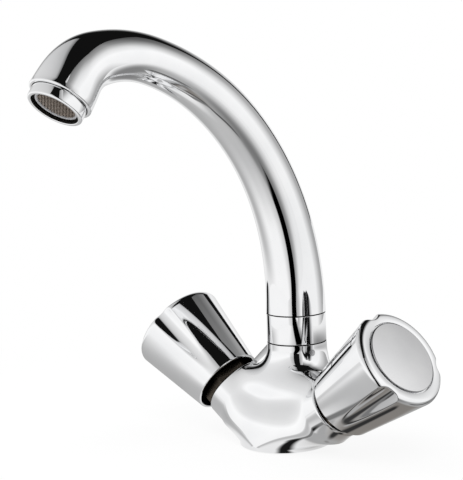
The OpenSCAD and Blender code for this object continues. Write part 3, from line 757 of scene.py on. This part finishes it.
# hulls of rings, remeshed evenly, to be moved onto the blended surface
def castingDraft():
    draft, bar, foot, join = (casting[key] for key in ("draft", "shoulder", "foot", "armJoin"))
    setback = neck["setback"]
    hulls = []
    for side in (-1, 1):
        bent = [(lift(0, 0, height), foot) for height in draft["foot"]]
        hulls.append(bent + [(onValve(side, join), arms["radius"])])
        ends = (join - draft["overlap"], arms["end"] + draft["over"])
        hulls.append([(onValve(side, along), arms["radius"]) for along in ends])
    upright = Matrix.Rotation(math.pi / 2, 4, "Y")
    hulls.append([(lift(end, bar["back"], bar["height"] - bar["droop"] * end**2) @ upright, bar["radius"])
                  for end in (-draft["barEnd"], draft["barEnd"])])
    (low, inset), (middle, radius) = draft["neckFoot"], draft["neckMiddle"]
    hulls.append([(lift(0, 0, low), foot - inset), (lift(0, setback, middle), radius)])
    start, top = draft["neckStraight"]
    hulls.append([
        (lift(0, setback, start), neck["radius"] + draft["neckSpare"]),
        (lift(0, setback, top), neck["radius"])])
    bm = bmesh.new()
    for rings in hulls:
        group = []
        for place, radius in rings:
            group += bmesh.ops.create_circle(
                bm, cap_ends=False, radius=radius * mm, segments=draft["sides"], matrix=place)["verts"]
        bmesh.ops.convex_hull(bm, input=group)
    rough = objectFrom(bm, "castingDraft")
    even = rough.modifiers.new("even", "REMESH")
    even.mode, even.voxel_size = "VOXEL", casting["voxel"] * mm
    made = bmesh.new()
    made.from_mesh(rough.evaluated_get(bpy.context.evaluated_depsgraph_get()).to_mesh())
    bpy.data.objects.remove(rough)
    soften(made, draft["smooth"])
    return made


def settle(bm, passes):
    p = np.array([v.co for v in bm.verts]) / mm
    most = casting["stepMost"]
    for turn in range(passes):
        slope = fieldSlope(p)
        size = np.maximum((slope**2).sum(axis=1), casting["slopeLeast"])
        p -= np.clip(castingField(p) / size, -most, most)[:, None] * slope
    for v, spot in zip(bm.verts, p):
        v.co = Vector(spot) * mm


# closes an open end of the casting with turned rings: each is (radius, height) in the end's own frame;
# where the casting is wider than the first ring, the rings of a rounded edge follow its own outline
def closeEnd(bm, place, cut, rings, edgeRings=0):
    back = place.inverted()
    normal = place.to_3x3() @ Vector((0, 0, 1))
    made = bmesh.ops.bisect_plane(
        bm, geom=bm.verts[:] + bm.edges[:] + bm.faces[:], dist=weld,
        plane_co=place @ Vector((0, 0, cut * mm)), plane_no=normal, clear_outer=True)
    edges = [g for g in made["geom_cut"] if isinstance(g, bmesh.types.BMEdge)]
    verts = list({v for e in edges for v in e.verts})

    def setRing(radius, height, inset=None):
        for v in verts:
            spot = back @ v.co
            reach = math.hypot(spot.x, spot.y)
            wanted = radius * mm if inset is None else max(radius * mm, reach - inset * mm)
            v.co = place @ Vector((spot.x / reach * wanted, spot.y / reach * wanted, height * mm))

    setRing(rings[0][0], cut, 0.0 if edgeRings else None)
    for turn, (radius, height) in enumerate(rings[1:]):
        verts, edges = extrudeLoop(bm, edges)
        setRing(radius, height, rings[turn][0] - radius if turn < edgeRings else None)
    bmesh.ops.holes_fill(bm, edges=edges)


def roundedRings(radius, height, edge, steps=4):
    rings = []
    for k in range(steps + 1):
        angle = math.radians(90 * k / steps)
        rings.append((radius - edge * (1 - math.cos(angle)), height - edge * (1 - math.sin(angle))))
    return rings


# cuts the grub screw's hole and gives the way back from it, with z running out along its axis
def drillGrub(body):
    aim = lift(0, neck["setback"], casting["grubHeight"])
    aim = aim @ Matrix.Rotation(math.radians(casting["grubAngle"] - 90), 4, "Z")
    aim = aim @ Matrix.Rotation(math.pi / 2, 4, "Y")
    radius = casting["grubRadius"] * mm
    hole = bmesh.new()
    bmesh.ops.create_cone(
        hole, cap_ends=True, segments=casting["grubSides"], radius1=radius, radius2=radius,
        depth=casting["grubDepth"] * mm, matrix=aim @ lift(0, 0, neck["radius"] + casting["grubOut"]))
    tool = objectFrom(hole, "grubDrill")
    cutter = body.modifiers.new("grubHole", "BOOLEAN")
    cutter.operation, cutter.object, cutter.solver = "DIFFERENCE", tool, "EXACT"
    drilled = bpy.data.meshes.new_from_object(body.evaluated_get(bpy.context.evaluated_depsgraph_get()))
    body.modifiers.clear()
    body.data = drilled
    bpy.data.objects.remove(tool)
    return aim.inverted()


# shades the blended faces by the field itself, so that reflections run smoothly
def setFieldNormals(mesh):
    spots = np.empty(len(mesh.vertices) * 3)
    mesh.vertices.foreach_get("co", spots)
    spots = spots.reshape(-1, 3) / mm
    slope = fieldSlope(spots)
    slope /= np.linalg.norm(slope, axis=1)[:, None]
    normals = np.empty(len(mesh.loops) * 3)
    mesh.corner_normals.foreach_get("vector", normals)
    normals = normals.reshape(-1, 3)
    on = np.abs(castingField(spots)) < casting["onField"]
    ids = np.empty(len(mesh.loops), int)
    mesh.loops.foreach_get("vertex_index", ids)
    for face in mesh.polygons:
        loops = slice(face.loop_start, face.loop_start + face.loop_total)
        mine = ids[loops]
        if on[mine].all() and np.dot(slope[mine].mean(axis=0), face.normal) > casting["facing"]:
            normals[loops] = slope[mine]
    mesh.normals_split_custom_set([tuple(n) for n in normals])


def makeCasting():
    bm = castingDraft()
    settle(bm, casting["passes"])
    for turn in range(casting["rounds"]):
        soften(bm, 1)
        settle(bm, casting["roundPasses"])
    end, steps = arms["end"], casting["armSteps"]
    for side in (-1, 1):
        rings = [(arms["radius"], casting["armCut"])]
        rings += roundedRings(arms["radius"], end, arms["edge"], steps)
        rings += [(casting["boreRadius"], end), (casting["boreRadius"], end - casting["boreDepth"])]
        closeEnd(bm, onValve(side, 0), casting["armCut"], rings, edgeRings=steps + 1)
    top, bore = neck["top"], casting["neckBore"]
    rings = [(neck["radius"], casting["neckCut"])] + roundedRings(neck["radius"], top, neck["edge"])
    rings += [(bore, top), (bore, top - casting["neckBoreDepth"])]
    closeEnd(bm, lift(0, neck["setback"], 0), casting["neckCut"], rings)
    outer, inner, depth = casting["gasket"]
    rings = [(casting["foot"], -casting["footTop"])]
    rings += roundedRings(casting["foot"], 0.0, casting["footEdge"])
    rings += [(outer, 0.0), (outer, -depth), (inner, -depth), (inner, 0.0)]
    closeEnd(bm, Matrix.Rotation(math.pi, 4, "X"), -casting["footTop"], rings)
    body = finishPiece(bm, "bodyCasting", "body", sharp=casting["sharp"])
    back = drillGrub(body)
    body.data.set_sharp_from_angle(angle=math.radians(casting["sharp"]))
    setFieldNormals(body.data)
    # the neck's top under the collar is painted near black as painted shade in the joint
    paintShadeOrRefinish(body, lambda p: p.z > casting["neckCut"] and fromNeck(p) < collar["jointShadeRadius"])
    reach = casting["grubRadius"] + casting["onField"]

    def inHole(p):
        p = back @ (p * mm)
        return p.xy.length < reach * mm and p.z > neck["radius"] * mm / 2

    paintShadeOrRefinish(body, inHole, "plainSteel")


makeCasting()
print("casting made")

# a pale floor, plain soft light, and the light walls that only polished metal shows;
# u runs from the tap towards the camera and v to its right, in millimetres,
# while the floor's size, the shadow's reach and the lamps are in metres
toward, aside = Vector((0.697, -0.717, 0.0)), Vector((0.717, 0.697, 0.0))
white = (1.0, 1.0, 1.0, 1.0)
studio = {
    "floor": -0.5, "floorSize": 3.0, "floorPaint": (0.86, 0.86, 0.86, 1.0),
    "floorGlow": 0.88, "shadowReach": (0.06, 0.3), "ambient": 0.75, "dark": 0.006,
    "lampAim": (0.0, 0.0, 0.08),
    "lamps": [((0.9, -0.9, 1.5), 1.0, 14.0), ((-1.3, -0.5, 1.1), 0.9, 9.0), ((0.2, 1.4, 1.3), 1.0, 7.0)],
}
# tones of the floor that the polished faces see, with places in millimetres from the tap; the darker near
# tone around the tap and the brown patch under the right handle are painted shadow of the tap on it
floorLook = {
    "close": 0.88, "closeEnd": (30.0, 58.0), "near": 0.53, "far": 1.0, "farStart": (62.0, 160.0),
    "back": 0.24, "backWay": (0.05, 1.0, 0.0), "backSpread": (0.2, 0.75), "backReach": (150.0, 340.0),
    "left": 0.44, "leftWay": (-0.9, 0.43, 0.0), "leftSpread": (0.0, 0.95), "leftReach": (200.0, 400.0),
    "right": 0.5, "rightWay": (1.0, 0.1, 0.0), "rightSpread": (0.5, 0.9), "rightReach": (150.0, 330.0),
    "clear": 0.9, "sideStart": (40.0, 95.0),
    "brown": (0.235, 0.22, 0.205), "brownPlace": (60.0, -2.0), "brownReach": (18.0, 46.0),
}
# a dark band that runs off towards the camera: its start, both sides with their drift, and its soft edges
bandLook = {
    "start": 133.0, "left": -5.0, "leftDrift": -0.38, "right": 54.0, "rightDrift": -0.1,
    "halo": 110.0, "haloTone": 0.4, "haloStart": (-80.0, -20.0), "sideHalo": 90.0, "sideTone": 0.65,
    "startSoft": (-8.0, 8.0), "sideSoft": (-4.0, 4.0), "haloSoft": (-20.0, 20.0),
}
# strokes on the floor: from, to, half width and tone
strokes = [
    ((112.0, 10.0), (108.0, 58.0), 15.0, 0.12),
    ((20.0, -30.0), (66.0, -37.0), 6.5, 0.2),
    ((44.0, -16.0), (66.0, -13.0), 4.0, 0.42),
    ((31.0, -2.0), (30.0, -24.0), 5.0, 0.40),
    ((37.0, -9.0), (66.0, -4.0), 4.5, 0.03),
    ((45.0, -21.0), (66.0, -32.0), 5.0, 0.04),
    ((58.0, -43.0), (82.0, -50.0), 7.0, 0.08),
    ((13.0, -15.0), (21.0, -27.0), 6.0, 0.01),
]
strokeCore = 0.3  # the share of a stroke's half width that keeps its full tone
wallTones = {
    "side": [(0.0, 0.95), (0.38, 1.05), (0.53, 0.82), (0.65, 0.52), (0.75, 0.34), (0.97, 0.2), (1.0, 0.25)],
    "front": [(0.0, 1.0), (0.2, 0.9), (0.3, 0.78), (1.0, 0.78)],
    "left": [(0.0, 0.99), (0.3, 1.06), (0.47, 0.87), (0.7, 0.8), (1.0, 0.75)],
    "roof": [(0.0, 0.75), (0.3, 0.66), (0.7, 0.5), (1.0, 0.14)],
    "back": [(0.0, 0.9), (0.4, 1.0), (0.65, 0.6), (0.9, 0.1), (1.0, 0.02)],
}
wallFades = {
    "even": [(0.0, 1.0), (1.0, 1.0)],
    "behind": [(0.0, 1.0), (0.31, 1.0), (0.41, 0.8), (0.52, 0.64), (0.66, 0.45), (1.0, 0.40)],
    "bandLeft": [(0.0, 0.95), (1.0, 0.62)],
    "bandRight": [(0.0, 0.46), (0.4, 0.6), (1.0, 0.95)],
    "left": [(0.0, 0.86), (0.28, 1.0), (1.0, 1.0)],
    "back": [(0.0, 1.0), (1.0, 0.6)],
}
# foot from, foot to, top from, top to as (u, v, z), with the tones upwards and the fade along
walls = {
    "rightWall": ((200, 350, 0), (-420, 350, 0), (200, 350, 740), (-420, 350, 740), "side", "behind"),
    "rightCorner": ((410, 130, 0), (200, 350, 0), (410, 130, 620), (200, 350, 740), "side", "even"),
    "bandRight": ((412, 36, 0), (410, 130, 0), (412, 36, 560), (410, 130, 620), "front", "bandRight"),
    "bandLeft": ((430, -260, 0), (418, -120, 0), (430, -260, 480), (418, -150, 520), "front", "bandLeft"),
    "leftWall": ((-420, -360, 0), (430, -260, 0), (-420, -360, 350), (430, -260, 350), "left", "left"),
    "leftRoof": ((-420, -360, 350), (430, -260, 350), (-420, -170, 850), (430, -170, 850), "roof", "left"),
    "backWall": ((-520, 300, 0), (-420, -360, 0), (-520, 300, 520), (-420, -360, 520), "back", "back"),
}


def onFloor(u, v, z):
    return (toward * u + aside * v + Vector((0, 0, z))) * mm


def softStep(s, value, start, end):
    ends = {"Value": value, "From Min": start, "From Max": end}
    return s.add("MapRange", {"interpolation_type": "SMOOTHSTEP"}, ends)


def mixed(low, high, share):
    return low + (high - low) * share


# how much of a point lies under a stroke
def strokeShare(s, x, y, start, end, reach):
    dx, dy = end[0] - start[0], end[1] - start[1]
    away = ((x - start[0]) * dx + (y - start[1]) * dy) * (1 / (dx * dx + dy * dy))
    away = away.most(0.0).least(1.0)
    gapX, gapY = x - start[0] - away * dx, y - start[1] - away * dy
    return 1 - softStep(s, (gapX * gapX + gapY * gapY).root(), reach * strokeCore, reach)


def floorTone(s):
    place = s.add("TexCoord", output=3)
    x, y = (value * (1 / mm) for value in s.split(place))
    u, v = x * toward.x + y * toward.y, x * aside.x + y * aside.y
    look, band = floorLook, bandLook
    reach = (x * x + y * y).root()
    way = s.add("VectorMath", {"operation": "NORMALIZE"}, {"Vector": place})
    # the floor turns darker past the close tone: painted shadow of the tap, as the polished faces see it
    tone = mixed(look["close"], look["near"], softStep(s, reach, *look["closeEnd"]))
    tone = mixed(tone, look["far"], softStep(s, reach, *look["farStart"]))
    for side in ("left", "right", "back"):
        ways = {0: way, 1: look[side + "Way"]}
        facing = s.add("VectorMath", {"operation": "DOT_PRODUCT"}, ways, output=1)
        shade = mixed(look[side], look["clear"], softStep(s, reach, *look[side + "Reach"]))
        share = softStep(s, facing, *look[side + "Spread"]) * softStep(s, reach, *look["sideStart"])
        tone = mixed(tone, shade, share)
    past = u - band["start"]
    fromLeft = v - band["left"] - past * band["leftDrift"]
    fromRight = v - band["right"] - past * band["rightDrift"]
    ahead = softStep(s, past, *band["startSoft"])
    halo = mixed(band["haloTone"], 1.0, softStep(s, fromRight, 0.0, band["halo"]))
    beside = mixed(1.0, band["sideTone"], softStep(s, fromLeft, -band["sideHalo"], 0.0))
    halo = mixed(beside, halo, softStep(s, fromLeft, *band["haloSoft"]))
    inside = softStep(s, fromLeft, *band["sideSoft"]) * (1 - softStep(s, fromRight, *band["sideSoft"]))
    tone = tone * mixed(1.0, halo, softStep(s, past, *band["haloStart"])) * (1 - inside * ahead)
    # a brown patch under the right handle: painted shadow of the handle on the floor
    brownX, brownY = x - look["brownPlace"][0], y - look["brownPlace"][1]
    brown = 1 - softStep(s, (brownX * brownX + brownY * brownY).root(), *look["brownReach"])
    grey = s.add("CombineColor", inputs={"Red": tone, "Green": tone, "Blue": tone})
    colour = s.blend(brown, grey, (*look["brown"], 1.0))
    for start, end, width, shade in strokes:
        colour = s.blend(strokeShare(s, x, y, start, end, width), colour, (shade, shade, shade, 1.0))
    return colour


def makeFloor():
    bm = bmesh.new()
    bmesh.ops.create_grid(bm, x_segments=1, y_segments=1, size=studio["floorSize"])
    bmesh.ops.translate(bm, verts=bm.verts, vec=(0, 0, studio["floor"] * mm))
    paint = bpy.data.materials.new("floorPaint")
    s = Shader(paint)
    seen, shiny = s.add("LightPath", output=0), s.add("LightPath", output=3)
    matt = s.add("BsdfDiffuse", inputs={"Color": studio["floorPaint"]})
    bright = s.add("Emission", inputs={"Color": white, "Strength": 1.0})
    shown = s.add("Emission", inputs={"Color": floorTone(s), "Strength": 1.0})
    reach = s.add("VectorMath", {"operation": "LENGTH"}, {"Vector": s.add("TexCoord", output=3)}, output=1)
    away = softStep(s, reach, *studio["shadowReach"])
    plain = s.add("MixShader", inputs={0: seen * mixed(studio["floorGlow"], 1.0, away), 1: matt, 2: bright})
    s.finish("Material", s.add("MixShader", inputs={0: shiny, 1: plain, 2: shown}))
    floor = objectFrom(bm, "floor")
    floor.data.materials.append(paint)


def greys(stops):
    return [(place, (value,) * 3) for place, value in stops]


def makeWall(name):
    *corners, tones, fade = walls[name]
    bm = bmesh.new()
    layer = bm.loops.layers.uv.new("UVMap")
    places = [(0, 0), (1, 0), (0, 1), (1, 1)]
    verts = [bm.verts.new(onFloor(*corner)) for corner in corners]
    face = bm.faces.new([verts[k] for k in (0, 1, 3, 2)])
    for loop in face.loops:
        loop[layer].uv = places[verts.index(loop.vert)]
    paint = bpy.data.materials.new(name + "Light")
    s = Shader(paint)
    along, up = s.split(s.add("TexCoord", output=2))
    tone, power = s.ramp(greys(wallTones[tones]), up), s.ramp(greys(wallFades[fade]), along)
    s.finish("Material", s.add("Emission", inputs={"Color": tone, "Strength": power}))
    wall = objectFrom(bm, name)
    wall.data.materials.append(paint)
    wall.visible_camera = wall.visible_diffuse = wall.visible_transmission = wall.visible_shadow = False


def makeLight():
    world = bpy.data.worlds.new("studio")
    bpy.context.scene.world = world
    s = Shader(world)
    seen, shiny = s.add("LightPath", output=0), s.add("LightPath", output=3)
    strengths = (studio["ambient"], 1.0, studio["dark"])
    ambient, bright, dark = (s.add("Background", inputs={"Color": white, "Strength": k}) for k in strengths)
    plain = s.add("MixShader", inputs={0: seen, 1: ambient, 2: bright})
    s.finish("World", s.add("MixShader", inputs={0: shiny, 1: plain, 2: dark}))
    for place, size, power in studio["lamps"]:
        lamp = bpy.data.objects.new("softLamp", bpy.data.lights.new("softLamp", "AREA"))
        lamp.data.shape, lamp.data.size, lamp.data.energy = "SQUARE", size, power
        turned = (Vector(studio["lampAim"]) - Vector(place)).to_track_quat("-Z", "Y").to_matrix().to_4x4()
        lamp.matrix_world = Matrix.Translation(place) @ turned
        lamp.visible_glossy = False
        bpy.context.scene.collection.objects.link(lamp)


makeFloor()
for wallName in walls:
    makeWall(wallName)
makeLight()
bpy.context.scene.view_settings.view_transform = "Standard"
print("studio done")
